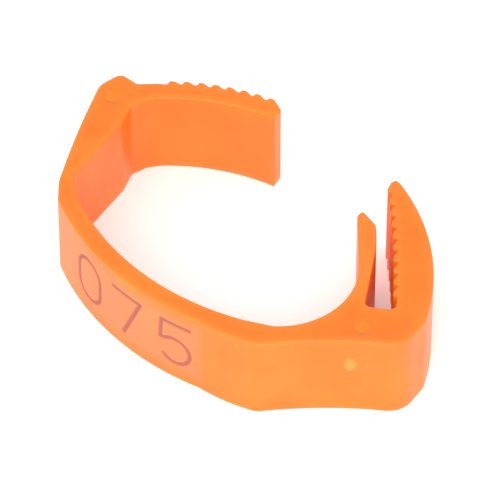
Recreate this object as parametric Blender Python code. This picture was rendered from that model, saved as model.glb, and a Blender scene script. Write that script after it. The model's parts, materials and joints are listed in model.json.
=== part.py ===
"""Clip-on numbered leg band for poultry, as it comes from the mould: open, lying flat.

The band is one springy strap of constant width.  Its number panel carries two halves on creases.
One half ends in a ribbed tongue, the other in a clasp whose jaw and lip leave a slot for the tongue.

The profile is drawn in the band's own plane, in millimetres.  Its origin is the middle of the number
panel's chord, x runs along the panel from the tongue crease to the clasp crease, and y points inward.
"""

import math

import bmesh
import bpy
from mathutils import Matrix, Vector

MM = 0.001

# Overall
BAND_WIDTH = 8.3
RIM_CHAMFER = 0.14
FLEX_GAP = 0.30
SPLIT_GAP = 0.10
TURN_DEG = -43.3

# Number panel: a flat arc between the creases
PANEL_IN_R = 22.4
PANEL_CY = 20.35
PANEL_T = 1.60
TONGUE_CREASE = (-10.80, -0.10)
CLASP_CREASE = (10.40, -0.45)
CREASE_RELIEF_IN = 18.0
CREASE_RELIEF_OUT = 6.0

# Tongue half
FLANK_KNEE = (-11.85, 1.75)
FLANK_KNEE_OUT = (-12.36, 0.55)
FLANK_TOP_IN = (-13.10, 8.70)
NOTCH_TOP = (-13.85, 10.50)
BUMP_FOOT = (-15.55, 6.90)
BUMP_SIDE = (-17.55, 10.60)
BUMP_TOP = (-17.15, 12.75)
TONGUE_IN_R = 18.15
TONGUE_BACK_T = 1.65
RIB_H = 0.38
RIB_COUNT = 8
RIB_FIRST_DEG = 133.0
RIB_LAST_DEG = 105.0
TONGUE_ROOT_DEG = 138.5
TONGUE_TIP_DEG = 103.5
TIP_BEVEL = 0.45
ROOT_SWELL = 0.15
RIB_CREST_FROM = 0.46
RIB_CREST_TO = 0.18

# Clasp half
CLASP_IN_C = (7.0, 6.0)
CLASP_IN_R = 6.55
LIP_STRAIGHT = 5.3
LIP_LEAVES_DEG = 44.0
SLOT_C = (1.8, 5.5)
LIP_WALL_R = 12.15
LIP_TIP_CUT = 0.75
LIP_TIP_CUT_DEG = 6.0
LIP_TIP_LEAN_DEG = 2.4
SLOT_WIDTH = 2.00
SLOT_BENDS_DEG = 34.0
SLOT_STRAIGHT = 4.9
SLOT_END_REACH = 0.85
JAW_WALL_FOOT = (16.36, 10.00)
JAW_WALL_DEG = 130.0
JAW_WALL_TURN = 9.0
JAW_WALL_LENGTH = 12.6
JAW_ROOT_SHIFT = 0.43
JAW_OUT_C = (2.2, 0.65)
JAW_OUT_R = 19.72
JAW_TOOTH_H = 0.36
JAW_TOOTH_COUNT = 10
TOOTH_CREST_FROM = 0.55
TOOTH_CREST_TO = 0.80
TOOTH_FOOT = 0.97
JAW_TIP_DEG = 72.5
JAW_NOSE = 0.50
HEEL = (20.25, 6.60)
HEEL_R = 2.2
CLASP_FLANK_MID = (15.35, 2.75)
CLASP_CREASE_OUT = (11.60, -1.45)

# Number
DIGIT_HEIGHT = 5.0
DIGIT_WIDTH = 3.5
DIGIT_PITCH = 4.9
DIGIT_SHIFT = -0.7
STROKE = 0.42
MARK_DEPTH = 0.16
POCKET_DEPTH = 0.24
POCKET_CLEARANCE = 0.06


# ---------------------------------------------------------------- plane geometry

def polar(centre, radius, degrees):
    """The point at a radius and an angle about a centre."""
    a = math.radians(degrees)
    return (centre[0] + radius * math.cos(a), centre[1] + radius * math.sin(a))


def arc(centre, radius, start_deg, end_deg, steps):
    """Points along an arc, both ends included."""
    span = end_deg - start_deg
    return [polar(centre, radius, start_deg + span * i / steps) for i in range(steps + 1)]


def along(point, degrees, distance):
    """The point a distance away in a direction."""
    return polar(point, distance, degrees)


def heading(a, b):
    """The direction from one point to another, in degrees."""
    return math.degrees(math.atan2(b[1] - a[1], b[0] - a[0]))


def rounded(before, corner, after, radius, steps=5):
    """The points that round a corner to a radius, between its two neighbours."""
    into = Vector(before) - Vector(corner)
    away = Vector(after) - Vector(corner)
    half = into.angle(away) / 2
    reach = radius / math.tan(half)
    middle = (into.normalized() + away.normalized()).normalized()
    centre = Vector(corner) + middle * (radius / math.sin(half))
    first = Vector(corner) + into.normalized() * reach - centre
    last = Vector(corner) + away.normalized() * reach - centre
    turn = first.angle_signed(last)
    points = []
    for i in range(steps + 1):
        spoke = first.copy()
        spoke.rotate(Matrix.Rotation(-turn * i / steps, 2))
        points.append(tuple(centre + spoke))
    return points


def bowed(a, b, sag, steps):
    """Points from a to b along a shallow curve that sags to the left of the way."""
    way = Vector(b) - Vector(a)
    side = Vector((-way.y, way.x)).normalized()
    points = []
    for i in range(steps + 1):
        t = i / steps
        points.append(tuple(Vector(a) + way * t + side * (4 * sag * t * (1 - t))))
    return points


def crease_end(crease, tangent_deg, side, half_in, half_out):
    """A piece's end face at a crease, inner edge first: it is nearest the crease at mid-wall and leans
    away from it above and below, which leaves room to bend."""
    foot = along(crease, tangent_deg, side * FLEX_GAP / 2)
    inner = along(foot, tangent_deg + 90, half_in)
    inner = along(inner, tangent_deg, side * half_in * math.tan(math.radians(CREASE_RELIEF_IN)))
    outer = along(foot, tangent_deg - 90, half_out)
    outer = along(outer, tangent_deg, side * half_out * math.tan(math.radians(CREASE_RELIEF_OUT)))
    return [inner, foot, outer]


# ---------------------------------------------------------------- profiles

PANEL_C = (0.0, PANEL_CY)
PANEL_OUT_R = PANEL_IN_R + PANEL_T
SLOT_HEADING = SLOT_BENDS_DEG + 90
SLOT_MID_R = LIP_WALL_R + SLOT_WIDTH / 2
SLOT_BEND = polar(SLOT_C, SLOT_MID_R, SLOT_BENDS_DEG)
SLOT_BOTTOM = along(SLOT_BEND, SLOT_HEADING, -SLOT_STRAIGHT)
LIP_FLEX_DEG = SLOT_BENDS_DEG + 180


def panel_angle(point):
    """Where a point lies on the panel's arc, in degrees from the middle of the panel."""
    return math.degrees(math.atan2(point[0] - PANEL_C[0], PANEL_C[1] - point[1]))


def panel_point(radius, degrees):
    """A point on the panel's arc, by its angle from the middle of the panel."""
    return polar(PANEL_C, radius, degrees - 90)


def number_panel_profile():
    """The flat arc that carries the number."""
    left = panel_angle(TONGUE_CREASE)
    right = panel_angle(CLASP_CREASE)
    half = PANEL_T / 2
    left_end = crease_end(TONGUE_CREASE, left, 1, half, half)
    right_end = crease_end(CLASP_CREASE, right, -1, half, half)
    margin_in = math.degrees(0.6 / PANEL_IN_R)
    inner = [panel_point(PANEL_IN_R, right - margin_in * 2 - (right - left - 4 * margin_in) * i / 22)
             for i in range(23)]
    outer = [panel_point(PANEL_OUT_R, left + margin_in * 2 + (right - left - 4 * margin_in) * i / 22)
             for i in range(23)]
    return inner + left_end + outer + list(reversed(right_end))


def tongue_flank_profile():
    """The wall from the tongue crease up to the shoulder bump, thicker towards the shoulder."""
    tangent = panel_angle(TONGUE_CREASE) + 180
    half = PANEL_T / 2
    end = crease_end(TONGUE_CREASE, tangent - 180, -1, half, half)
    knee_in = rounded(end[0], FLANK_KNEE, FLANK_TOP_IN, 1.6)
    knee_out = rounded(end[2], FLANK_KNEE_OUT, BUMP_FOOT, 1.5)
    inner_root = polar((0, 0), TONGUE_IN_R, TONGUE_ROOT_DEG)
    cut_deg = TONGUE_ROOT_DEG + math.degrees(SPLIT_GAP / TONGUE_IN_R)
    outer_r = TONGUE_IN_R + TONGUE_BACK_T + RIB_H * 0.5
    root_in = polar((0, 0), TONGUE_IN_R - ROOT_SWELL, cut_deg)
    root_out = polar((0, 0), outer_r, cut_deg)
    step_foot = polar((0, 0), outer_r, cut_deg + 1.6)
    bump = rounded(step_foot, BUMP_TOP, BUMP_SIDE, 0.55)
    side = rounded(BUMP_TOP, BUMP_SIDE, BUMP_FOOT, 1.6)
    notch = rounded(FLANK_TOP_IN, NOTCH_TOP, root_in, 0.35, 3)
    outline = end + knee_out + bowed(knee_out[-1], side[-1], -0.12, 6)[1:-1]
    outline += list(reversed(side)) + list(reversed(bump)) + [step_foot, root_out, root_in]
    outline += list(reversed(notch)) + [FLANK_TOP_IN] + list(reversed(knee_in))
    return outline


def tongue_arm_profile():
    """The thin strap with saw ribs across its outer face and a blunt, bevelled tip."""
    o = (0, 0)
    back_r = TONGUE_IN_R + TONGUE_BACK_T
    root = TONGUE_ROOT_DEG
    bevel_deg = math.degrees(TIP_BEVEL / TONGUE_IN_R)
    outline = [polar(o, TONGUE_IN_R + TIP_BEVEL, TONGUE_TIP_DEG)]
    outline += arc(o, TONGUE_IN_R, TONGUE_TIP_DEG + bevel_deg, root - 4, 16)
    outline += [polar(o, TONGUE_IN_R - ROOT_SWELL, root)]
    outline += [polar(o, back_r + RIB_H * 0.5, root), polar(o, back_r + RIB_H * 0.25, root - 3)]
    pitch = (RIB_FIRST_DEG - RIB_LAST_DEG) / RIB_COUNT
    for i in range(RIB_COUNT):
        start = RIB_FIRST_DEG - i * pitch
        outline += [polar(o, back_r, start)]
        outline += [polar(o, back_r + RIB_H, start - RIB_CREST_TO * pitch)]
        outline += [polar(o, back_r + RIB_H, start - RIB_CREST_FROM * pitch)]
    outline += [polar(o, back_r, RIB_LAST_DEG)]
    outline += [polar(o, back_r - 0.1, TONGUE_TIP_DEG + 0.9), polar(o, back_r - 0.55, TONGUE_TIP_DEG)]
    return outline


def jaw_root():
    """The jaw's root line across the clasp, from the slot's outer wall to the outer surface."""
    slot_side = along(SLOT_BOTTOM, SLOT_BENDS_DEG, SLOT_WIDTH / 2 + JAW_ROOT_SHIFT)
    reach = 0.0
    while math.dist(along(slot_side, SLOT_BENDS_DEG, reach), JAW_OUT_C) < JAW_OUT_R:
        reach += 0.01
    return slot_side, along(slot_side, SLOT_BENDS_DEG, reach)


def lip_root():
    """The lip's root line across the clasp, from the slot's inner wall to the inner surface."""
    slot_side = along(SLOT_BOTTOM, LIP_FLEX_DEG, SLOT_WIDTH / 2)
    reach = 0.0
    while math.dist(along(slot_side, LIP_FLEX_DEG, reach), CLASP_IN_C) > CLASP_IN_R:
        reach += 0.01
    return slot_side, along(slot_side, LIP_FLEX_DEG, reach)


def clasp_heel_profile():
    """The wall from the clasp crease to the slot's bottom, with the rounded heel outside."""
    tangent = panel_angle(CLASP_CREASE)
    end = crease_end(CLASP_CREASE, tangent, 1, PANEL_T / 2, PANEL_T / 2)
    lip_slot, lip_inside = lip_root()
    jaw_slot, jaw_outside = jaw_root()
    start_deg = heading(CLASP_IN_C, end[0]) + 5
    end_deg = heading(CLASP_IN_C, lip_inside)
    inner = arc(CLASP_IN_C, CLASP_IN_R, start_deg, end_deg, 14)
    back = SLOT_HEADING + 180
    lip_corner = along(lip_slot, back, SLOT_END_REACH)
    jaw_corner = along(jaw_slot, back, SLOT_END_REACH)
    slot = rounded(lip_slot, lip_corner, jaw_corner, 0.45, 3)
    slot += rounded(lip_corner, jaw_corner, jaw_slot, 0.45, 3)
    heel_start = heading(JAW_OUT_C, jaw_outside)
    heel_end = heading(JAW_OUT_C, HEEL) + 6
    heel_side = arc(JAW_OUT_C, JAW_OUT_R, heel_start, heel_end, 4)
    heel = rounded(heel_side[-1], HEEL, CLASP_FLANK_MID, HEEL_R, 6)
    flank = bowed(heel[-1], CLASP_CREASE_OUT, -0.30, 8)
    outline = [end[1], end[0]] + inner + [lip_slot] + slot + [jaw_slot]
    outline += heel_side + heel + flank[1:] + [end[2]]
    return outline


def inner_lip_profile():
    """The smooth inner lip, from its root to its bevelled, rounded tip."""
    lip_slot, lip_inside = lip_root()
    root_slot = along(lip_slot, SLOT_HEADING, FLEX_GAP)
    leave = polar(CLASP_IN_C, CLASP_IN_R, LIP_LEAVES_DEG)
    tip_in = along(leave, LIP_LEAVES_DEG + 90, LIP_STRAIGHT)
    root_deg = heading(CLASP_IN_C, lip_inside) + math.degrees(FLEX_GAP / CLASP_IN_R)
    inner = arc(CLASP_IN_C, CLASP_IN_R, root_deg, LIP_LEAVES_DEG, 6)
    tip_deg = heading(SLOT_C, tip_in)
    wall_end = polar(SLOT_C, LIP_WALL_R, tip_deg - LIP_TIP_CUT_DEG)
    tip_out = polar(SLOT_C, LIP_WALL_R - LIP_TIP_CUT, tip_deg + LIP_TIP_LEAN_DEG)
    wall = arc(SLOT_C, LIP_WALL_R, SLOT_BENDS_DEG, tip_deg - LIP_TIP_CUT_DEG, 8)
    tip = rounded(wall_end, tip_out, tip_in, 0.3, 3)
    nose = rounded(tip_out, tip_in, leave, 0.2, 3)
    return inner + list(reversed(nose)) + list(reversed(tip)) + list(reversed(wall)) + [root_slot]


def outer_jaw_profile():
    """The wedge-shaped outer jaw, with saw teeth towards the slot and a pointed tip."""
    jaw_slot, jaw_outside = jaw_root()
    root_slot = along(jaw_slot, SLOT_HEADING, FLEX_GAP)
    wall_r = JAW_WALL_LENGTH / math.radians(JAW_WALL_TURN)
    wall_c = along(JAW_WALL_FOOT, JAW_WALL_DEG + 90, wall_r)
    pitch = JAW_WALL_LENGTH / JAW_TOOTH_COUNT

    def wall_point(distance, height):
        """A point on the jaw's slot side, by its way from the mouth and its height off the wall."""
        swept = JAW_WALL_TURN * (1 - distance / JAW_WALL_LENGTH)
        return polar(wall_c, wall_r - height, JAW_WALL_DEG - 90 + swept)

    teeth = []
    for i in range(JAW_TOOTH_COUNT):
        start = i * pitch
        teeth += [wall_point(start, 0.0)]
        teeth += [wall_point(start + TOOTH_CREST_FROM * pitch, JAW_TOOTH_H)]
        teeth += [wall_point(start + TOOTH_CREST_TO * pitch, JAW_TOOTH_H)]
        teeth += [wall_point(start + TOOTH_FOOT * pitch, 0.0)]
    jaw_start = heading(JAW_OUT_C, jaw_outside) + math.degrees(FLEX_GAP / JAW_OUT_R)
    outer = arc(JAW_OUT_C, JAW_OUT_R, jaw_start, JAW_TIP_DEG, 16)
    nose = rounded(outer[-1], along(teeth[0], 75, JAW_NOSE), teeth[0], 0.15, 3)
    return outer + nose + teeth + [root_slot]


# ---------------------------------------------------------------- building

def material(name, colour, roughness):
    """A plain plastic finish."""
    made = bpy.data.materials.new(name)
    made.use_nodes = True
    shader = made.node_tree.nodes["Principled BSDF"]
    shader.inputs["Base Color"].default_value = (*colour, 1.0)
    shader.inputs["Roughness"].default_value = roughness
    shader.inputs["Metallic"].default_value = 0.0
    made.diffuse_color = (*colour, 1.0)
    return made


def empty(name, parent, place):
    """An empty that carries a body, set on the axis the body turns about."""
    made = bpy.data.objects.new(name, None)
    made.empty_display_size = 2 * MM
    made.parent = parent
    made.location = (place[0] * MM, place[1] * MM, 0.0)
    band.objects.link(made)
    return made


def outline_curve(name, outlines, half_depth, chamfer):
    """A flat outline, holes included, thickened both ways and chamfered round its rims."""
    curve = bpy.data.curves.new(name, "CURVE")
    curve.dimensions = "2D"
    curve.fill_mode = "BOTH"
    curve.extrude = (half_depth - chamfer) * MM
    curve.bevel_depth = chamfer * MM
    curve.bevel_resolution = 0
    curve.offset = -chamfer * MM
    for outline in outlines:
        spline = curve.splines.new("POLY")
        spline.points.add(len(outline) - 1)
        for point, (x, y) in zip(spline.points, outline):
            point.co = (x * MM, y * MM, 0.0, 1.0)
        spline.use_cyclic_u = True
    return curve


def segment(name, outline, origin, parent, parent_place, finish):
    """One length of the band: its profile across the full width, with its origin where it flexes."""
    local = [(x - origin[0], y - origin[1]) for x, y in outline]
    curve = outline_curve(name, [local], BAND_WIDTH / 2, RIM_CHAMFER)
    made = bpy.data.objects.new(name, curve)
    curve.materials.append(finish)
    made.parent = parent
    made.location = ((origin[0] - parent_place[0]) * MM, (origin[1] - parent_place[1]) * MM,
                     BAND_WIDTH / 2 * MM)
    band.objects.link(made)
    return made


def as_mesh(made):
    """The same object with its curve made a welded mesh."""
    bpy.context.view_layer.update()
    evaluated = made.evaluated_get(bpy.context.evaluated_depsgraph_get())
    mesh = bpy.data.meshes.new_from_object(evaluated)
    work = bmesh.new()
    work.from_mesh(mesh)
    bmesh.ops.remove_doubles(work, verts=work.verts, dist=0.000002)
    bmesh.ops.recalc_face_normals(work, faces=work.faces)
    work.to_mesh(mesh)
    work.free()
    name = made.name
    parent = made.parent
    local = made.matrix_local.copy()
    homes = list(made.users_collection)
    curve = made.data
    bpy.data.objects.remove(made)
    bpy.data.curves.remove(curve)
    solid = bpy.data.objects.new(name, mesh)
    solid.parent = parent
    solid.matrix_local = local
    for home in homes:
        home.objects.link(solid)
    return solid


def ribbon(path, half_width):
    """The outline of a stroke drawn along an open path, with square ends."""
    left = []
    right = []
    for i, here in enumerate(path):
        a = Vector(path[max(i - 1, 0)])
        b = Vector(path[min(i + 1, len(path) - 1)])
        into = (Vector(here) - a).normalized() if i else (b - Vector(here)).normalized()
        away = (b - Vector(here)).normalized() if i < len(path) - 1 else into
        middle = (into + away).normalized()
        side = Vector((-middle.y, middle.x)) * (half_width / max(middle.dot(into), 0.4))
        left.append(tuple(Vector(here) + side))
        right.append(tuple(Vector(here) - side))
    return left + list(reversed(right))


def zero_outlines(half_stroke):
    """A nought: one tall rounded ring."""
    outlines = []
    for grow in (half_stroke, -half_stroke):
        w = DIGIT_WIDTH / 2 + grow - STROKE / 2
        h = DIGIT_HEIGHT / 2 + grow - STROKE / 2
        top = arc((0, h - w), w, 0, 180, 10)
        bottom = arc((0, w - h), w, 180, 360, 10)
        outlines.append(top + bottom)
    return outlines


def seven_outlines(half_stroke):
    """A seven: a bar across the top and a slanted leg."""
    w = DIGIT_WIDTH / 2 - STROKE / 2
    h = DIGIT_HEIGHT / 2 - STROKE / 2
    end = half_stroke
    path = [(-w - end, h), (w, h), (-0.25 * w, -h - end)]
    return [ribbon(path, half_stroke)]


def five_outlines(half_stroke):
    """A five: a bar, a short stem and a round bowl."""
    w = DIGIT_WIDTH / 2 - STROKE / 2
    h = DIGIT_HEIGHT / 2 - STROKE / 2
    bowl_r = 0.62 * h
    bowl = arc((w - bowl_r, -h + bowl_r), bowl_r, 128, -140, 14)
    path = [(w + half_stroke * 0.6, h), (-0.75 * w, h), (-0.85 * w, 0.05 * h)] + bowl
    return [ribbon(path, half_stroke)]


def on_panel(slot):
    """The placing of a digit on the panel's outer face: x along the panel, y up, z outward."""
    angle = (slot * DIGIT_PITCH + DIGIT_SHIFT) / PANEL_OUT_R
    centre = panel_point(PANEL_OUT_R, math.degrees(angle))
    turn = Matrix(((math.cos(angle), 0.0, math.sin(angle)),
                   (math.sin(angle), 0.0, -math.cos(angle)),
                   (0.0, 1.0, 0.0)))
    return Matrix.Translation((centre[0] * MM, centre[1] * MM, BAND_WIDTH / 2 * MM)) @ turn.to_4x4()


def digit_block(name, outlines, slot, home):
    """A digit's strokes as a straight block through the panel's outer face."""
    curve = outline_curve(name, outlines, 1.0, 0.0)
    made = bpy.data.objects.new(name, curve)
    made.parent = band_origin
    made.matrix_local = on_panel(slot)
    home.objects.link(made)
    return as_mesh(made)


def shell_block(name, inner_r, outer_r):
    """A curved slab that follows the panel between two radii."""
    edge = 26.0
    outline = [panel_point(inner_r, edge - 2 * edge * i / 72) for i in range(73)]
    outline += [panel_point(outer_r, -edge + 2 * edge * i / 72) for i in range(73)]
    curve = outline_curve(name, [outline], BAND_WIDTH / 2 + 1, 0.0)
    made = bpy.data.objects.new(name, curve)
    made.parent = band_origin
    made.location = (0.0, 0.0, BAND_WIDTH / 2 * MM)
    cutters.objects.link(made)
    return as_mesh(made)


def cut(made, cutter, operation):
    """Cut or keep part of a solid with another."""
    step = made.modifiers.new(operation.title(), "BOOLEAN")
    step.operation = operation
    step.solver = "EXACT"
    step.object = cutter


def guide(made):
    """Show a cutter as a wire only."""
    made.hide_render = True
    made.display_type = "WIRE"


for old in list(bpy.data.objects):
    bpy.data.objects.remove(old, do_unlink=True)

band = bpy.data.collections.new("poultry_leg_band")
cutters = bpy.data.collections.new("cutters")
bpy.context.scene.collection.children.link(band)
bpy.context.scene.collection.children.link(cutters)

orange = material("orange_plastic", (1.0, 0.19, 0.022), 0.42)
mark = material("laser_mark", (0.34, 0.10, 0.03), 0.75)

profiles = {
    "number_panel": number_panel_profile(),
    "tongue_flank": tongue_flank_profile(),
    "tongue_arm": tongue_arm_profile(),
    "clasp_heel": clasp_heel_profile(),
    "inner_lip": inner_lip_profile(),
    "outer_jaw": outer_jaw_profile(),
}

# The band's origin is under the middle of its outline's box, on the surface it lies on.
turn = Matrix.Rotation(math.radians(TURN_DEG), 2)
turned = [turn @ Vector(point) for outline in profiles.values() for point in outline]
centre_x = (min(p.x for p in turned) + max(p.x for p in turned)) / 2
centre_y = (min(p.y for p in turned) + max(p.y for p in turned)) / 2

band_origin = empty("band_origin", None, (-centre_x, -centre_y))
band_origin.rotation_euler = (0.0, 0.0, math.radians(TURN_DEG))
tongue_hinge = empty("tongue_hinge", band_origin, TONGUE_CREASE)
clasp_hinge = empty("clasp_hinge", band_origin, CLASP_CREASE)
jaw_flexure = along(jaw_root()[1], LIP_FLEX_DEG, 0.4)
lip_flexure = along(lip_root()[1], SLOT_BENDS_DEG, 0.3)

panel = segment("number_panel", profiles["number_panel"], (0, 0), band_origin, (0, 0), orange)
segment("tongue_flank", profiles["tongue_flank"], TONGUE_CREASE, tongue_hinge, TONGUE_CREASE, orange)
segment("tongue_arm", profiles["tongue_arm"], TONGUE_CREASE, tongue_hinge, TONGUE_CREASE, orange)
segment("clasp_heel", profiles["clasp_heel"], CLASP_CREASE, clasp_hinge, CLASP_CREASE, orange)
segment("inner_lip", profiles["inner_lip"], lip_flexure, clasp_hinge, CLASP_CREASE, orange)
segment("outer_jaw", profiles["outer_jaw"], jaw_flexure, clasp_hinge, CLASP_CREASE, orange)

# Each digit is a thin mark let into a shallow pocket in the panel's outer face.
panel = as_mesh(panel)
mark_shell = shell_block("mark_shell", PANEL_OUT_R - MARK_DEPTH, PANEL_OUT_R)
pocket_shell = shell_block("pocket_shell", PANEL_OUT_R - POCKET_DEPTH, PANEL_OUT_R + 0.8)
guide(mark_shell)
guide(pocket_shell)
DIGITS = (("digit_hundreds", zero_outlines, -1), ("digit_tens", seven_outlines, 0),
          ("digit_units", five_outlines, 1))
for node, outlines, place in DIGITS:
    pocket = digit_block(node + "_pocket", outlines(STROKE / 2 + POCKET_CLEARANCE), place, cutters)
    guide(pocket)
    cut(pocket, pocket_shell, "INTERSECT")
    cut(panel, pocket, "DIFFERENCE")
    digit = digit_block(node, outlines(STROKE / 2), place, band)
    digit.data.materials.clear()
    digit.data.materials.append(mark)
    cut(digit, mark_shell, "INTERSECT")
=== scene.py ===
import json
import math

import bpy
import numpy as np
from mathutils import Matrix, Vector
from mathutils.geometry import delaunay_2d_cdt


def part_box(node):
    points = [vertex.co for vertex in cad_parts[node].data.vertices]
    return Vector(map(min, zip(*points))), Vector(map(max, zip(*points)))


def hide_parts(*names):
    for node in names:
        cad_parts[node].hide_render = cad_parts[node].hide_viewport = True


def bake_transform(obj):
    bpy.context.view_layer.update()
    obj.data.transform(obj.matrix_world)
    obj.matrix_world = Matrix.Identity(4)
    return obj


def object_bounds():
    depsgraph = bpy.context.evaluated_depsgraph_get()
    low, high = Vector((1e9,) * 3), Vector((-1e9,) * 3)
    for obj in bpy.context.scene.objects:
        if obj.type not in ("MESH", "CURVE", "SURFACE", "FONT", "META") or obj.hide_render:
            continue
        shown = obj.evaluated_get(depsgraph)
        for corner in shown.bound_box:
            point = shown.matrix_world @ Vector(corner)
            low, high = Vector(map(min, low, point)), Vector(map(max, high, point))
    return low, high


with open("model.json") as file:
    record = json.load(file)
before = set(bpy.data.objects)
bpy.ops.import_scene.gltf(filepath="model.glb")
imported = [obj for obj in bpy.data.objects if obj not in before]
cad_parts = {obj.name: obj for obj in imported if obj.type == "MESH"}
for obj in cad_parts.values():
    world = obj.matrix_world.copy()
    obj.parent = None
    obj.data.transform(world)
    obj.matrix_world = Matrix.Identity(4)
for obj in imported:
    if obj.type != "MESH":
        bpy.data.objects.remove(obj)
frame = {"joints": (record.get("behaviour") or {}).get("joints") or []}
cad_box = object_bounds()

MM = 0.001
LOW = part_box("number_panel")[0][2]
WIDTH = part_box("number_panel")[1][2] - LOW
W = WIDTH / MM

# ---------------------------------------------------------------- the band's profile, in mm
# Origin at the middle of the number panel's chord, x towards the clasp crease, y inward.

# Number panel: a flat arc between the creases
PANEL_IN_R = 22.4
PANEL_CY = 20.35
PANEL_T = 1.60
PANEL_OUT_DEG = (-27.2, 15.5)
PANEL_IN_DEG = (24.0, -26.2)
PANEL_END_SAG = -0.22
TONGUE_CREASE = (-10.80, -0.10)
CLASP_CREASE = (10.40, -0.45)

# Tongue half
FLANK_KNEE = (-11.85, 1.75)
FLANK_KNEE_R = 1.6
FLANK_KNEE_OUT = (-12.36, 0.55)
FLANK_KNEE_OUT_R = 2.2
FLANK_TOP_IN = (-13.10, 8.70)
FLANK_TOP_IN_R = 0.35
FLANK_SAG = -0.16
NOTCH_TOP = (-13.85, 10.50)
NOTCH_TOP_R = 0.5
BUMP_SIDE = (-17.55, 10.60)
BUMP_SIDE_R = 1.8
BUMP_TOP = (-17.15, 12.75)
BUMP_TOP_R = 0.75
TONGUE_IN_R = 18.15
TONGUE_BACK_T = 1.65
TONGUE_ROOT_DEG = 138.5
TONGUE_TIP_DEG = 103.5
TONGUE_IN_ENDS_DEG = (-4, 1)
TIP_BEVEL = 0.45
TIP_BEVEL_DEG = 1.6
TIP_EASE = 0.02
TIP_LEAN_DEG = 0.1
TIP_RADII = (0.6, 0.3, 0.4)
ROOT_SWELL = 0.15
ROOT_SWELL_R = 1.0
RIB_H = 0.38
RIB_COUNT = 8
RIB_FIRST_DEG = 133.0
RIB_LAST_DEG = 105.0
RIB_CREST_FROM = 0.50
RIB_CREST_TO = 0.17
RIB_RADII = (0.26, 0.13, 0.09)
# The step from the ribs to the bump: degrees past the root, share of a rib's height, corner radius.
ROOT_STEP = ((-3.2, 0.3, 0.8), (1.6, 0.5, 0.30))

# Clasp half
CLASP_CREASE_OUT = (11.60, -1.45)
CLASP_CREASE_OUT_R = 2.6
CLASP_FLANK_SAG = 0.42
CLASP_IN_C = (7.0, 6.0)
CLASP_IN_R = 6.55
CLASP_IN_END_DEG = -50
HEEL = (20.25, 6.60)
HEEL_R = 2.2
HEEL_ENDS_DEG = 9
SLOT_C = (1.8, 5.5)
SLOT_WIDTH = 2.00
SLOT_BENDS_DEG = 34.0
SLOT_STRAIGHT = 4.9
SLOT_END_REACH = 0.85
SLOT_END_R = 0.5
LIP_STRAIGHT = 5.3
LIP_LEAVES_DEG = 44.0
LIP_WALL_R = 12.15
LIP_TIP_CUT = 0.75
LIP_TIP_CUT_DEG = 6
LIP_TIP_LEAN_DEG = 2.4
LIP_TIP_RADII = (0.5, 0.35, 0.28)
LIP_FOOT_WAYS = (0.6, 1.6, 2.8, 4.0)
LIP_BACK_WAYS = (1.2, 2.4, 3.6, 4.6)
JAW_WALL_FOOT = (16.36, 10.00)
JAW_WALL_DEG = 130.0
JAW_WALL_TURN = 9.0
JAW_WALL_LENGTH = 12.6
JAW_ROOT_SHIFT = 0.43
JAW_OUT_C = (2.2, 0.65)
JAW_OUT_R = 19.72
JAW_TIP_DEG = 72.5
JAW_TIP_EASE_DEG = 1.5
JAW_TIP_R = 0.8
JAW_NOSE = 0.50
JAW_NOSE_HEADING = 75
JAW_NOSE_R = 0.20
TOOTH_H = 0.36
TOOTH_COUNT = 10
TOOTH_CREST_FROM = 0.55
TOOTH_CREST_TO = 0.82
TOOTH_FOOT = 0.98
TOOTH_RADII = (0.09, 0.22, 0.11, 0.08)


def polar(centre, radius, degrees):
    """The point at a radius and an angle about a centre."""
    a = math.radians(degrees)
    return (centre[0] + radius * math.cos(a), centre[1] + radius * math.sin(a))


def arc(centre, radius, start_deg, end_deg, steps):
    """Points along an arc, both ends included."""
    span = end_deg - start_deg
    return [polar(centre, radius, start_deg + span * i / steps) for i in range(steps + 1)]


def along(point, degrees, distance):
    """The point a distance away in a direction."""
    return polar(point, distance, degrees)


def heading(a, b):
    """The direction from one point to another, in degrees."""
    return math.degrees(math.atan2(b[1] - a[1], b[0] - a[0]))


PANEL_C = (0.0, PANEL_CY)
PANEL_OUT_R = PANEL_IN_R + PANEL_T
SLOT_HEADING = SLOT_BENDS_DEG + 90
SLOT_BEND = polar(SLOT_C, LIP_WALL_R + SLOT_WIDTH / 2, SLOT_BENDS_DEG)
SLOT_BOTTOM = along(SLOT_BEND, SLOT_HEADING, -SLOT_STRAIGHT)
LIP_FOOT = along(SLOT_BOTTOM, SLOT_BENDS_DEG, -SLOT_WIDTH / 2)
JAW_FOOT = along(SLOT_BOTTOM, SLOT_BENDS_DEG, SLOT_WIDTH / 2 + JAW_ROOT_SHIFT)


def panel_point(radius, degrees):
    """A point on the panel's arc, by its angle from the middle of the panel."""
    return polar(PANEL_C, radius, degrees - 90)


def bowed(a, b, sag, steps):
    """The points between a and b on a shallow curve that sags to the left of the way."""
    way = Vector(b) - Vector(a)
    side = Vector((-way.y, way.x)).normalized()
    points = []
    for i in range(1, steps):
        t = i / steps
        points.append(tuple(Vector(a) + way * t + side * (4 * sag * t * (1 - t))))
    return points


def corner(point, radius):
    """A vertex that is rounded to a radius."""
    return (*point, radius)


def sharp(points):
    """Vertices that stay as they are."""
    return [corner(point, 0.0) for point in points]


NEARLY_STRAIGHT = math.radians(88.5)
FILLET_TURN = 0.16
FILLET_REACH_SHARE = 0.48


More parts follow.
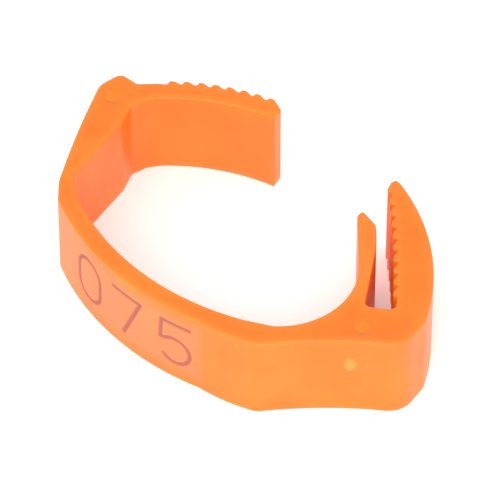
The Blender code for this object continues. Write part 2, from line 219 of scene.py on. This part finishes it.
def filleted(vertices):
    """A closed path through vertices (x, y, radius), each corner rounded to its radius."""
    points = []
    count = len(vertices)
    for i, (x, y, radius) in enumerate(vertices):
        here = Vector((x, y))
        if radius <= 0:
            points.append(here)
            continue
        before = Vector(vertices[i - 1][:2]) - here
        after = Vector(vertices[(i + 1) % count][:2]) - here
        half = before.angle(after) / 2
        if half > NEARLY_STRAIGHT:
            points.append(here)
            continue
        reach = min(radius / math.tan(half), FILLET_REACH_SHARE * min(before.length, after.length))
        r = reach * math.tan(half)
        middle = (before.normalized() + after.normalized()).normalized()
        centre = here + middle * (r / math.sin(half))
        first = here + before.normalized() * reach - centre
        last = here + after.normalized() * reach - centre
        turn = math.atan2(first.cross(last), first.dot(last))
        steps = max(3, int(abs(turn) / FILLET_TURN))
        for k in range(steps + 1):
            c = math.cos(turn * k / steps)
            s = math.sin(turn * k / steps)
            points.append(centre + Vector((first.x * c - first.y * s, first.x * s + first.y * c)))
    return points


def tongue_outside():
    """Tip, ribs and root of the tongue's outer face, tip first."""
    o = (0, 0)
    back = TONGUE_IN_R + TONGUE_BACK_T
    pitch = (RIB_FIRST_DEG - RIB_LAST_DEG) / RIB_COUNT
    out = [corner(polar(o, TONGUE_IN_R, TONGUE_TIP_DEG), TIP_RADII[0])]
    out += [corner(polar(o, back - TIP_BEVEL, TONGUE_TIP_DEG + TIP_LEAN_DEG), TIP_RADII[1])]
    out += [corner(polar(o, back - TIP_EASE, TONGUE_TIP_DEG + TIP_BEVEL_DEG), TIP_RADII[2])]
    for i in reversed(range(RIB_COUNT)):
        start = RIB_FIRST_DEG - i * pitch
        out += [corner(polar(o, back + RIB_H, start - RIB_CREST_FROM * pitch), RIB_RADII[0])]
        out += [corner(polar(o, back + RIB_H, start - RIB_CREST_TO * pitch), RIB_RADII[1])]
        out += [corner(polar(o, back, start), RIB_RADII[2])]
    for degrees, share, radius in ROOT_STEP:
        out += [corner(polar(o, back + RIB_H * share, TONGUE_ROOT_DEG + degrees), radius)]
    return out


def tooth_wall():
    """The jaw's slot side, mouth first: saw teeth on a wall that turns a little."""
    wall_r = JAW_WALL_LENGTH / math.radians(JAW_WALL_TURN)
    wall_c = along(JAW_WALL_FOOT, JAW_WALL_DEG + 90, wall_r)
    pitch = JAW_WALL_LENGTH / TOOTH_COUNT

    def wall_point(distance, height):
        """A point by its way from the mouth and its height off the wall."""
        swept = JAW_WALL_TURN * (1 - distance / JAW_WALL_LENGTH)
        return polar(wall_c, wall_r - height, JAW_WALL_DEG - 90 + swept)

    tooth = ((0.0, 0.0), (TOOTH_CREST_FROM, TOOTH_H), (TOOTH_CREST_TO, TOOTH_H), (TOOTH_FOOT, 0.0))
    out = []
    for i in range(TOOTH_COUNT):
        for (share, height), radius in zip(tooth, TOOTH_RADII):
            out += [corner(wall_point(i * pitch + share * pitch, height), radius)]
    return out


def lip_outline():
    """The inner lip, from its foot in the slot round its tip to the inner surface."""
    leave = polar(CLASP_IN_C, CLASP_IN_R, LIP_LEAVES_DEG)
    tip_in = along(leave, LIP_LEAVES_DEG + 90, LIP_STRAIGHT)
    tip_deg = heading(SLOT_C, tip_in)
    cut_deg = tip_deg - LIP_TIP_CUT_DEG
    out = sharp([along(LIP_FOOT, SLOT_HEADING, d) for d in LIP_FOOT_WAYS])
    out += sharp(arc(SLOT_C, LIP_WALL_R, SLOT_BENDS_DEG, cut_deg - 1, 20))
    out += [corner(polar(SLOT_C, LIP_WALL_R, cut_deg), LIP_TIP_RADII[0])]
    out += [corner(polar(SLOT_C, LIP_WALL_R - LIP_TIP_CUT, tip_deg + LIP_TIP_LEAN_DEG), LIP_TIP_RADII[1])]
    out += [corner(tip_in, LIP_TIP_RADII[2])]
    out += sharp([along(tip_in, LIP_LEAVES_DEG - 90, d) for d in LIP_BACK_WAYS])
    return out


def whole_profile():
    """The closed outline of the whole band, anticlockwise from the tongue's tip."""
    panel_end = panel_point(PANEL_OUT_R, PANEL_OUT_DEG[1])
    heel_end = heading(JAW_OUT_C, HEEL) + HEEL_ENDS_DEG
    teeth = tooth_wall()
    path = tongue_outside()
    path += [corner(BUMP_TOP, BUMP_TOP_R), corner(BUMP_SIDE, BUMP_SIDE_R)]
    path += sharp(bowed(BUMP_SIDE, FLANK_KNEE_OUT, FLANK_SAG, 9)[2:-1])
    path += [corner(FLANK_KNEE_OUT, FLANK_KNEE_OUT_R)]
    path += sharp([panel_point(PANEL_OUT_R, a) for a in np.linspace(*PANEL_OUT_DEG, 60)])
    path += sharp(bowed(panel_end, CLASP_CREASE_OUT, PANEL_END_SAG, 8))
    path += [corner(CLASP_CREASE_OUT, CLASP_CREASE_OUT_R)]
    path += sharp(bowed(CLASP_CREASE_OUT, HEEL, CLASP_FLANK_SAG, 12)[1:-2])
    path += [corner(HEEL, HEEL_R)]
    path += sharp(arc(JAW_OUT_C, JAW_OUT_R, heel_end, JAW_TIP_DEG - JAW_TIP_EASE_DEG, 50))
    path += [corner(polar(JAW_OUT_C, JAW_OUT_R, JAW_TIP_DEG), JAW_TIP_R)]
    path += [corner(along(teeth[0][:2], JAW_NOSE_HEADING, JAW_NOSE), JAW_NOSE_R)]
    path += teeth
    for foot in (JAW_FOOT, LIP_FOOT):
        path += [corner(along(foot, SLOT_HEADING, -SLOT_END_REACH), SLOT_END_R)]
    path += lip_outline()
    path += sharp(arc(CLASP_IN_C, CLASP_IN_R, LIP_LEAVES_DEG - 1, CLASP_IN_END_DEG, 50))
    path += sharp([panel_point(PANEL_IN_R, a) for a in np.linspace(*PANEL_IN_DEG, 66)])
    path += [corner(FLANK_KNEE, FLANK_KNEE_R), corner(FLANK_TOP_IN, FLANK_TOP_IN_R)]
    path += [corner(NOTCH_TOP, NOTCH_TOP_R)]
    path += [corner(polar((0, 0), TONGUE_IN_R - ROOT_SWELL, TONGUE_ROOT_DEG), ROOT_SWELL_R)]
    root_end = TONGUE_ROOT_DEG + TONGUE_IN_ENDS_DEG[0]
    tip_end = TONGUE_TIP_DEG + TONGUE_IN_ENDS_DEG[1]
    path += sharp(arc((0, 0), TONGUE_IN_R, root_end, tip_end, 40))
    return filleted(path)


# ---------------------------------------------------------------- the profile, finely sampled

SAMPLE = 0.075
RIM_R = 0.17
RIM_SUPPORT = 0.05
RIM_ROOM_SHARE = 0.80
RIM_LEAST_SHARE = 0.25
STRAIGHT_ROOM = 9.0
LEAST_TURNING = 1e-3


def resampled(points, step):
    """Evenly spaced points along a closed path."""
    p = np.array([tuple(q) for q in points])
    gaps = np.linalg.norm(np.roll(p, -1, 0) - p, axis=1)
    p = p[gaps > 1e-6]
    gaps = np.linalg.norm(np.roll(p, -1, 0) - p, axis=1)
    at = np.concatenate([[0.0], np.cumsum(gaps)])
    closed = np.vstack([p, p[:1]])
    count = int(round(at[-1] / step))
    s = np.arange(count) * at[-1] / count
    return np.stack([np.interp(s, at, closed[:, 0]), np.interp(s, at, closed[:, 1])], 1)


def smoothed(values, passes):
    """A closed row of numbers, blurred a little on each pass."""
    for _ in range(passes):
        values = (np.roll(values, 1, 0) + 2 * values + np.roll(values, -1, 0)) / 4
    return values


line = resampled(whole_profile(), SAMPLE)
COUNT = len(line)
ahead = np.roll(line, -1, 0) - np.roll(line, 1, 0)
ahead /= np.linalg.norm(ahead, axis=1)[:, None]
normal = smoothed(np.stack([ahead[:, 1], -ahead[:, 0]], 1), 2)
normal /= np.linalg.norm(normal, axis=1)[:, None]


def rim_shares():
    """How much of the full rim each sample may have: less where the outline turns sharply outward."""
    later = np.roll(ahead, -1, 0)
    crossed = ahead[:, 0] * later[:, 1] - ahead[:, 1] * later[:, 0]
    turning = smoothed(np.arctan2(crossed, (ahead * later).sum(1)) / SAMPLE, 2)
    radius = RIM_ROOM_SHARE / np.maximum(turning, LEAST_TURNING)
    room = np.where(turning > LEAST_TURNING, radius, STRAIGHT_ROOM)
    for _ in range(3):
        room = np.minimum(room, np.minimum(np.roll(room, 1), np.roll(room, -1)))
    return smoothed(np.clip(room / (RIM_R + RIM_SUPPORT), RIM_LEAST_SHARE, 1.0), 6)


rim_share = rim_shares()


def nearest(point):
    """The outline's sample nearest to a point."""
    return int(np.argmin(((line - np.array(point)) ** 2).sum(1)))


def samples_between(first, last):
    """The outline's samples from one to another, going round anticlockwise."""
    steps = (last - first) % COUNT
    return (first + np.arange(steps + 1)) % COUNT


# ---------------------------------------------------------------- from the profile to the row frame

joints = {j["name"]: j for j in frame["joints"]}
tongue_axis = Vector(joints["tongue_crease"]["pos_m"][:2])
clasp_axis = Vector(joints["clasp_crease"]["pos_m"][:2])
crease_line = Vector(CLASP_CREASE) - Vector(TONGUE_CREASE)
crease_way = clasp_axis - tongue_axis
TURN = math.atan2(crease_way.y, crease_way.x) - math.atan2(crease_line.y, crease_line.x)


def placed(points):
    """Profile points, in mm, as row-frame x and y in metres."""
    p = (np.atleast_2d(np.array(points, float)) - np.array(TONGUE_CREASE)) * MM
    c = math.cos(TURN)
    s = math.sin(TURN)
    x = p[:, 0] * c - p[:, 1] * s + tongue_axis.x
    y = p[:, 0] * s + p[:, 1] * c + tongue_axis.y
    return np.stack([x, y], 1)


# ---------------------------------------------------------------- the number

DIGIT_HEIGHT = 5.0
DIGIT_WIDTH = 3.5
DIGIT_PITCH = 4.9
DIGIT_SHIFT = -0.7
STROKE = 0.42
SEVEN_FOOT = -0.25
BOWL_SHARE = 0.62
BOWL_DEG = (128, -140)
FIVE_STEM = ((-0.75, 1.0), (-0.85, 0.05))
MARK_DEPTH = 0.09
MARK_SPREAD = 0.05
MARK_FADE = 0.12
FAR_OFF = 99.0


def digit_paths():
    """The strokes of nought, seven and five, as open or closed paths about the digit's middle."""
    w = (DIGIT_WIDTH - STROKE) / 2
    h = (DIGIT_HEIGHT - STROKE) / 2
    nought = arc((0, h - w), w, 0, 180, 24) + arc((0, w - h), w, 180, 360, 24)
    nought.append(nought[0])
    seven = [(-w, h), (w, h), (SEVEN_FOOT * w, -h)]
    bowl_r = BOWL_SHARE * h
    five = [(w, h)] + [(across_share * w, up_share * h) for across_share, up_share in FIVE_STEM]
    five += arc((w - bowl_r, -h + bowl_r), bowl_r, *BOWL_DEG, 30)
    return [nought, seven, five]


def stroke_distance(u, v):
    """How far points of the panel's face are from the nearest stroke, in mm."""
    best = np.full(v.shape, FAR_OFF)
    for place, path in enumerate(digit_paths()):
        shift = (place - 1) * DIGIT_PITCH + DIGIT_SHIFT
        for a, b in zip(path[:-1], path[1:]):
            du = u - a[0] - shift
            dv = v - a[1]
            bu = b[0] - a[0]
            bv = b[1] - a[1]
            t = np.clip((du * bu + dv * bv) / (bu * bu + bv * bv), 0, 1)
            best = np.minimum(best, np.hypot(du - bu * t, dv - bv * t))
    return best


# ---------------------------------------------------------------- relief on the walls and faces

PANEL_REACH = 0.06
PANEL_HIGHEST_Y = 2.0
# The frosted patch round the number: real laser frosting, stretched left to the tongue's crease as a
# painted highlight.
FROST_AND_HIGHLIGHT_MIDDLE = -1.7
FROST_AND_HIGHLIGHT_HALF_LENGTH = 8.4
FROST_AND_HIGHLIGHT_HALF_HEIGHT = 3.1
FROST_AND_HIGHLIGHT_FADE = 1.2
GATE = (16.8, 4.0)
GATE_Z = 0.665 * W
GATE_R = 0.62
GATE_TALL = 1.5
GATE_FADE = 0.30
GATE_STAND = 0.10
GATE_DIMPLE = 0.08
GATE_DIMPLE_R = 0.24
HEEL_SINK = 0.05
HEEL_SINK_AT = (18.3, 5.6)
HEEL_SINK_REACH = (2.6, 3.0)
PIN_MARKS = ((-15.75, 10.3), (16.5, 5.7), (-12.55, 4.6))
PIN_R = 0.70
PIN_DEPTH = 0.05
PIN_STEPS = 40
PIN_GRID_CLEARANCE = 0.25
PIN_WALL_CLEARANCE = 0.1
PIN_MASK_INSET = 0.01
# The rings of a pin mark: how far inside its edge, and the share of its depth.
PIN_RINGS = ((0.0, 0.0), (0.05, 1.0), (0.35, 0.8))
PIN_MIDDLE_SHARE = 0.7
SINK = 0.05
SINK_GRID = 0.55
SINK_STARTS = 0.2
SINK_RUN = 0.8
GRID_CLEARANCE = 0.30


def eased(t):
    """Nought below 0, one above 1, and smooth between."""
    t = np.clip(t, 0, 1)
    return t * t * (3 - 2 * t)


def face_relief(index, z):
    """How far the surface stands proud of the plain profile, in mm, and its masks."""
    p = line[index]
    zz = np.broadcast_to(z, (len(index), len(z)))
    radius = np.hypot(p[:, 0] - PANEL_C[0], p[:, 1] - PANEL_C[1])
    on_panel = ((np.abs(radius - PANEL_OUT_R) < PANEL_REACH) & (p[:, 1] < PANEL_HIGHEST_Y))[:, None]
    u = (np.arctan2(p[:, 0], PANEL_CY - p[:, 1]) * PANEL_OUT_R)[:, None]

    distance = np.where(on_panel, stroke_distance(u, zz - W / 2), FAR_OFF)
    mark = eased((STROKE / 2 + MARK_SPREAD - distance) / MARK_FADE)
    side = np.maximum(np.abs(u - FROST_AND_HIGHLIGHT_MIDDLE) - FROST_AND_HIGHLIGHT_HALF_LENGTH,
                      np.abs(zz - W / 2) - FROST_AND_HIGHLIGHT_HALF_HEIGHT)
    frost_and_highlight = np.where(on_panel, np.clip(0.5 - side / FROST_AND_HIGHLIGHT_FADE, 0, 1), 0.0)

    sideways = np.hypot(p[:, 0] - GATE[0], p[:, 1] - GATE[1])[:, None]
    away = np.hypot(sideways, (zz - GATE_Z) / GATE_TALL)
    gate = eased((GATE_R - away) / GATE_FADE)

    heel_x = (p[:, 0] - HEEL_SINK_AT[0]) / HEEL_SINK_REACH[0]
    heel_y = (p[:, 1] - HEEL_SINK_AT[1]) / HEEL_SINK_REACH[1]
    heel = np.exp(-heel_x ** 2 - heel_y ** 2)[:, None]

    relief = -MARK_DEPTH * mark
    relief += GATE_STAND * gate - GATE_DIMPLE * np.exp(-(away / GATE_DIMPLE_R) ** 2)
    relief -= HEEL_SINK * heel * np.cos((zz / W - 0.5) * math.pi) ** 2
    return relief, {"mark": mark, "frost_and_highlight": frost_and_highlight, "gate": gate}


def sunk(wall):
    """How deep a flat face lies at a distance from its wall, in mm."""
    return SINK * (1 - np.exp(-((wall - SINK_STARTS) / SINK_RUN) ** 2))


def inner_grid(loop):
    """A sparse grid inside a flat face, clear of its wall and of the pin marks, and its depths."""
    lowest = loop.min(0)
    highest = loop.max(0)
    xs = np.arange(lowest[0], highest[0], SINK_GRID)
    ys = np.arange(lowest[1], highest[1], SINK_GRID)
    grid = np.stack(np.meshgrid(xs, ys), -1).reshape(-1, 2)
    nxt = np.roll(loop, -1, 0)
    crosses = (loop[None, :, 1] > grid[:, None, 1]) != (nxt[None, :, 1] > grid[:, None, 1])
    rise = np.where(nxt[:, 1] == loop[:, 1], 1e-9, nxt[:, 1] - loop[:, 1])
    at = loop[:, 0] + (grid[:, None, 1] - loop[:, 1]) * (nxt[:, 0] - loop[:, 0]) / rise
    grid = grid[(crosses & (grid[:, None, 0] < at)).sum(1) % 2 == 1]
    wall = np.sqrt(((grid[:, None, :] - loop[None, :, :]) ** 2).sum(2)).min(1)
    keep = wall > GRID_CLEARANCE
    for mark in PIN_MARKS:
        keep &= np.hypot(*(grid - np.array(mark)).T) > PIN_R + PIN_GRID_CLEARANCE
    return grid[keep], sunk(wall[keep])


def cap_points(loop):
    """Points inside a flat face, in mm: a sparse grid and the rings of the ejector pin marks.
    Each row is x, y and how deep the point lies; edges join the rings."""
    grid, depth = inner_grid(loop)
    points = [tuple(q) for q in np.column_stack([grid, depth])]
    edges = []
    for mark in PIN_MARKS:
        wall = np.hypot(*(loop - np.array(mark)).T).min()
        inside = (loop.min(0) < mark).all() and (loop.max(0) > mark).all()
        if wall < PIN_R + PIN_WALL_CLEARANCE or not inside:
            continue
        ground = sunk(wall)
        for inset, share in PIN_RINGS:
            first = len(points)
            ring = arc(mark, PIN_R - inset, 0, 360, PIN_STEPS)[:-1]
            points += [(x, y, ground + PIN_DEPTH * share) for x, y in ring]
            edges += [(first + k, first + (k + 1) % PIN_STEPS) for k in range(PIN_STEPS)]
        points.append((*mark, ground + PIN_DEPTH * PIN_MIDDLE_SHARE))
    return points, edges


def cap_faces(loop, points, edges):
    """Triangles that fill a flat outline. Numbers below len(loop) are its own points."""
    count = len(loop)
    flat = [Vector(q) for q in loop] + [Vector(q[:2]) for q in points]
    rim = [(k, (k + 1) % count) for k in range(count)]
    joins = rim + [(a + count, b + count) for a, b in edges]
    found = delaunay_2d_cdt(flat, joins, [], 1, 1e-6)
    home = [origins[0] for origins in found[3]]
    return [[home[v] for v in face] for face in found[2]]


# ---------------------------------------------------------------- building a length of the band

FILLET_STEPS = 4
RIM_HIGHLIGHT_FADE = 0.45
MASKS = ("mark", "frost_and_highlight", "gate", "rim", "pin")


def levels(middle_steps):
    """(height, how far drawn in) from the lower face's support ring to the upper one's."""
    low = [(0.0, RIM_R + RIM_SUPPORT)]
    for k in range(FILLET_STEPS + 1):
        a = math.pi / 2 * k / FILLET_STEPS
        low.append((RIM_R * (1 - math.cos(a)), RIM_R * (1 - math.sin(a))))
    high = [(W - z, inset) for z, inset in reversed(low)]
    middle = [(RIM_R + (W - 2 * RIM_R) * k / middle_steps, 0.0) for k in range(1, middle_steps)]
    return low + middle + high


def wall_grid(first, last, steps):
    """A stretch of wall as grids of x, y (profile mm), height (mm) and masks."""
    index = samples_between(first, last)
    z, inset = np.array(levels(steps)).T
    relief, masks = face_relief(index, z)
    relief = np.where(inset > 0, 0.0, relief)
    pull = inset * rim_share[index][:, None] - relief
    x = line[index, 0][:, None] - pull * normal[index, 0][:, None]
    y = line[index, 1][:, None] - pull * normal[index, 1][:, None]
    # The rim mask is a painted highlight: it grows towards the rounded rims of both flat faces.
    edge = np.clip(1 - np.minimum(z, W - z) / RIM_HIGHLIGHT_FADE, 0, 1)
    masks["rim"] = np.broadcast_to(edge, x.shape)
    masks["pin"] = np.zeros(x.shape)
    return x, y, np.broadcast_to(z, x.shape), masks


def on_pin(point):
    """Whether a point of a flat face lies on an ejector pin mark."""
    return min(math.dist(point, mark) for mark in PIN_MARKS) < PIN_R - PIN_MASK_INSET


def mark_sharp(mesh, rings):
    """Make the edges of closed rings of vertices sharp."""
    sharp_pairs = set()
    for ring in rings:
        for a, b in zip(ring, ring[1:] + ring[:1]):
            sharp_pairs.add((min(a, b), max(a, b)))
    flags = np.zeros(len(mesh.edges), bool)
    for edge in mesh.edges:
        a, b = edge.vertices
        flags[edge.index] = (min(a, b), max(a, b)) in sharp_pairs
    mesh.attributes.new("sharp_edge", "BOOLEAN", "EDGE").data.foreach_set("value", flags)


def band_length(name, chains):
    """A closed length of the band, from stretches of its outline and the flat joins between them.
    chains are (first sample, last sample, steps up the wall)."""
    verts = []
    faces = []
    flat_mm = []
    rows = []
    masks = {key: [] for key in MASKS}
    for first, last, steps in chains:
        x, y, z, local = wall_grid(first, last, steps)
        rows.append(len(verts) + np.arange(x.size).reshape(x.shape))
        flat_mm += list(zip(x.ravel(), y.ravel()))
        flat = placed(np.stack([x.ravel(), y.ravel()], 1))
        verts += list(zip(flat[:, 0], flat[:, 1], z.ravel() * MM + LOW))
        for key in MASKS:
            masks[key] += list(local[key].ravel())

    for row in rows:
        corners = (row[:-1, :-1], row[1:, :-1], row[1:, 1:], row[:-1, 1:])
        faces += np.stack([c.ravel() for c in corners], 1).tolist()

    for side, top, inward in ((-1, LOW + W * MM, -1), (0, LOW, 1)):
        ring = [int(v) for row in rows for v in row[:, side]]
        loop = np.array(flat_mm)[ring]
        points, edges = cap_points(loop)
        base = len(verts)
        flat = placed(np.array(points)[:, :2])
        verts += [(x, y, top + inward * q[2] * MM) for (x, y), q in zip(flat, points)]
        for key in MASKS[:-1]:
            masks[key] += [0.0] * len(points)
        masks["pin"] += [float(on_pin(q[:2])) for q in points]
        flat_mm += [q[:2] for q in points]
        for face in cap_faces(loop, points, edges):
            face = [ring[v] if v < len(ring) else base + v - len(ring) for v in face]
            faces.append(face if side else face[::-1])

    joins = []
    for row, following in zip(rows, rows[1:] + rows[:1]):
        joins.append([int(v) for v in row[-1, :]] + [int(v) for v in following[0, ::-1]])
    faces += [join[::-1] for join in joins]

    mesh = bpy.data.meshes.new(name)
    mesh.from_pydata(verts, [], faces)
    for key, values in masks.items():
        mesh.attributes.new(key, "FLOAT", "POINT").data.foreach_set("value", np.array(values, np.float32))
    mesh.validate()
    mesh.shade_smooth()
    mark_sharp(mesh, joins)
    piece = bpy.data.objects.new(name, mesh)
    bpy.context.scene.collection.objects.link(piece)
    return piece


# ---------------------------------------------------------------- plastic

ORANGE_DEEP = (0.97, 0.178, 0.006)
ORANGE_LIGHT = (1.0, 0.208, 0.010)
# The rims' paler colour is a painted highlight.
RIM_HIGHLIGHT = (1.0, 0.30, 0.035)
GATE_PALE = (1.0, 0.36, 0.07)
PIN_DEEP = (0.78, 0.225, 0.002)
# The frosted patch's pinkish colour: laser frosting, and at its left end a painted highlight.
FROST_AND_HIGHLIGHT_PALE = (0.88, 0.275, 0.19)
MARK_BROWN = (0.36, 0.115, 0.085)
RIM_HIGHLIGHT_SHARE = 0.25
GATE_SHARE = 0.60
PIN_SHARE = 0.70
CLOUD_SCALE = 210.0
FINE_SCALE = 2600.0
SPECK_SCALE = 9000.0
WAVE_SCALE = 420.0
WAVE_HEIGHT = 0.00006
GRAIN_SCALE = 7000.0
GRAIN_HEIGHT = 0.000012


def plastic():
    """Orange moulded plastic: mottled, softly glossy, with a painted highlight along its rims and a
    frosted patch that is partly a painted highlight, darkened where marked.
    """
    made = bpy.data.materials.new("orange_plastic_visual")
    made.use_nodes = True
    nodes = made.node_tree.nodes
    links = made.node_tree.links
    shader = nodes["Principled BSDF"]
    place = nodes.new("ShaderNodeTexCoord")

    def noise(scale, detail, rough=0.5):
        """Noise in the object's own space."""
        n = nodes.new("ShaderNodeTexNoise")
        n.inputs["Scale"].default_value = scale
        n.inputs["Detail"].default_value = detail
        n.inputs["Roughness"].default_value = rough
        links.new(place.outputs["Object"], n.inputs["Vector"])
        return n.outputs["Fac"]

    def mask(name):
        """One of the masks that the mesh carries."""
        n = nodes.new("ShaderNodeAttribute")
        n.attribute_name = name
        return n.outputs["Fac"]

    def scaled(value, low, high, to_low, to_high):
        """A value taken from one range to another."""
        n = nodes.new("ShaderNodeMapRange")
        n.inputs["From Min"].default_value = low
        n.inputs["From Max"].default_value = high
        n.inputs["To Min"].default_value = to_low
        n.inputs["To Max"].default_value = to_high
        links.new(value, n.inputs["Value"])
        return n.outputs["Result"]

    def math_node(kind, a, b):
        """A sum or product of two values."""
        n = nodes.new("ShaderNodeMath")
        n.operation = kind
        for socket, value in zip(n.inputs, (a, b)):
            if isinstance(value, float):
                socket.default_value = value
            else:
                links.new(value, socket)
        return n.outputs["Value"]

    def mixed(factor, a, b):
        """Colour a, turned towards colour b by a factor."""
        n = nodes.new("ShaderNodeMix")
        n.data_type = "RGBA"
        links.new(factor, n.inputs["Factor"])
        for socket, value in ((n.inputs["A"], a), (n.inputs["B"], b)):
            if isinstance(value, tuple):
                socket.default_value = (*value, 1.0)
            else:
                links.new(value, socket)
        return n.outputs["Result"]

    def bump(height, strength, distance, under=None):
        """A bumped normal, on top of another if one is given."""
        n = nodes.new("ShaderNodeBump")
        n.inputs["Strength"].default_value = strength
        n.inputs["Distance"].default_value = distance
        links.new(height, n.inputs["Height"])
        if under:
            links.new(under, n.inputs["Normal"])
        return n.outputs["Normal"]

    cloud = noise(CLOUD_SCALE, 3.0)
    fine = noise(FINE_SCALE, 4.0, 0.6)
    speck = noise(SPECK_SCALE, 2.0, 0.6)
    colour = mixed(scaled(cloud, 0.35, 0.65, 0.0, 1.0), ORANGE_DEEP, ORANGE_LIGHT)
    # The rims are painted paler as a highlight; the gate and the pin marks are the plastic's own marks.
    for name, share, shade in (("rim", RIM_HIGHLIGHT_SHARE, RIM_HIGHLIGHT), ("gate", GATE_SHARE, GATE_PALE),
                               ("pin", PIN_SHARE, PIN_DEEP)):
        colour = mixed(math_node("MULTIPLY", mask(name), share), colour, shade)
    # Paler pinkish patch: laser frosting round the number, and a painted highlight at its left end.
    frosted_and_lit = math_node("MULTIPLY", mask("frost_and_highlight"), scaled(fine, 0.35, 0.70, 0.24, 0.46))
    colour = mixed(frosted_and_lit, colour, FROST_AND_HIGHLIGHT_PALE)
    burnt = math_node("MULTIPLY", mask("mark"), scaled(speck, 0.30, 0.62, 0.75, 0.95))
    colour = mixed(burnt, colour, MARK_BROWN)
    links.new(colour, shader.inputs["Base Color"])

    rough = scaled(fine, 0.3, 0.7, 0.33, 0.45)
    rough = math_node("ADD", rough, math_node("MULTIPLY", mask("mark"), 0.25))
    rough = math_node("ADD", rough, math_node("MULTIPLY", mask("frost_and_highlight"), 0.10))
    links.new(rough, shader.inputs["Roughness"])

    wave = bump(noise(WAVE_SCALE, 2.0), 0.35, WAVE_HEIGHT)
    grain = bump(noise(GRAIN_SCALE, 3.0), 0.25, GRAIN_HEIGHT, wave)
    links.new(grain, shader.inputs["Normal"])

    shader.inputs["Subsurface Weight"].default_value = 0.12
    shader.inputs["Subsurface Radius"].default_value = (1.0, 0.18, 0.04)
    shader.inputs["Subsurface Scale"].default_value = 0.0005
    shader.inputs["IOR"].default_value = 1.48
    return made


# ---------------------------------------------------------------- the four visible lengths

# They meet on the panel before the tongue's bend, on the clasp past the clasp's bend, and across
# the lip's root.
TONGUE_BEND = 1.7
CLASP_BEND = 2.0
TONGUE_WALL_REACH = 0.8
CLASP_WALL_REACH = 1.0
LIP_ROOT_T = 1.4
LIP_ROOT_RISE = 0.15


def panel_angle(point):
    """Where a point lies on the panel's arc, in degrees from the middle of the panel."""
    return math.degrees(math.atan2(point[0], PANEL_CY - point[1]))


def across(point, degrees, reach):
    """The outline's samples where a line across the wall leaves it, left and right of its heading."""
    left = nearest(along(point, degrees + 90, reach))
    right = nearest(along(point, degrees - 90, reach))
    return left, right


tongue_way = panel_angle(TONGUE_CREASE)
clasp_way = panel_angle(CLASP_CREASE)
A_IN, A_OUT = across(along(TONGUE_CREASE, tongue_way, TONGUE_BEND), tongue_way, TONGUE_WALL_REACH)
B_IN, B_OUT = across(along(CLASP_CREASE, clasp_way, CLASP_BEND), clasp_way, CLASP_WALL_REACH)
L_SLOT = nearest(along(LIP_FOOT, SLOT_HEADING, LIP_ROOT_RISE))
L_IN = nearest(along(along(LIP_FOOT, SLOT_BENDS_DEG, -LIP_ROOT_T), SLOT_HEADING, LIP_ROOT_RISE))

panel = band_length("number_panel_skin", [(A_OUT, B_OUT, 110), (B_IN, A_IN, 12)])
tongue = band_length("tongue_half", [(A_IN, A_OUT, 14)])
clasp = band_length("clasp_and_jaw", [(B_OUT, L_SLOT, 60), (L_IN, B_IN, 12)])
lip = band_length("inner_lip_skin", [(L_SLOT, L_IN, 12)])

orange = plastic()
for piece in (panel, tongue, clasp, lip):
    piece.data.materials.append(orange)

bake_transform(panel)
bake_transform(tongue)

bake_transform(clasp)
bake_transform(lip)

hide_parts("number_panel", "digit_hundreds", "digit_tens", "digit_units")
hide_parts("tongue_flank", "tongue_arm")
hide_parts("clasp_heel", "outer_jaw")
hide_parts("inner_lip")

# ---------------------------------------------------------------- floor, light, camera

FLOOR_SIZE = 1.6
AIM_SHARE = 0.45
CAMERA_UP = 47.7
CAMERA_FAR = 0.42
FIELD = 0.040
SENSOR = 36.0

low, high = cad_box
middle_x = (low[0] + high[0]) / 2
middle_y = (low[1] + high[1]) / 2

bpy.ops.mesh.primitive_plane_add(size=FLOOR_SIZE, location=(middle_x, middle_y, low[2]))
floor = bpy.context.object
floor.name = "floor"
paper = bpy.data.materials.new("paper")
paper.use_nodes = True
paper_shader = paper.node_tree.nodes["Principled BSDF"]
paper_shader.inputs["Base Color"].default_value = (0.93, 0.93, 0.93, 1)
paper_shader.inputs["Roughness"].default_value = 0.9
paper_shader.inputs["Emission Color"].default_value = (1, 1, 1, 1)
paper_shader.inputs["Emission Strength"].default_value = 0.25
floor.data.materials.append(paper)

world = bpy.data.worlds.new("studio")
world.use_nodes = True
world.node_tree.nodes["Background"].inputs["Color"].default_value = (1, 1, 1, 1)
world.node_tree.nodes["Background"].inputs["Strength"].default_value = 0.80
bpy.context.scene.world = world


def sun(name, azimuth, elevation, spread, strength):
    """Wide soft light from a direction, in degrees; azimuth 0 is the camera's side, 90 the right."""
    light = bpy.data.lights.new(name, "SUN")
    light.angle = math.radians(spread)
    light.energy = strength
    made = bpy.data.objects.new(name, light)
    made.rotation_euler = (math.radians(90 - elevation), 0, math.radians(azimuth))
    bpy.context.scene.collection.objects.link(made)


sun("key", azimuth=-18, elevation=40, spread=50, strength=1.60)
sun("fill", azimuth=40, elevation=35, spread=70, strength=0.45)

aim = Vector((middle_x, middle_y, low[2] + WIDTH * AIM_SHARE))
up = math.radians(CAMERA_UP)
camera = bpy.data.objects.new("camera", bpy.data.cameras.new("camera"))
camera.location = aim + Vector((0, -math.cos(up), math.sin(up))) * CAMERA_FAR
camera.rotation_euler = (aim - camera.location).to_track_quat("-Z", "Y").to_euler()
camera.data.sensor_width = SENSOR
camera.data.lens = SENSOR * CAMERA_FAR / FIELD
camera.data.clip_start = 0.01
camera.data.clip_end = 10.0
bpy.context.scene.collection.objects.link(camera)
bpy.context.scene.camera = camera
bpy.context.scene.view_settings.view_transform = "Standard"
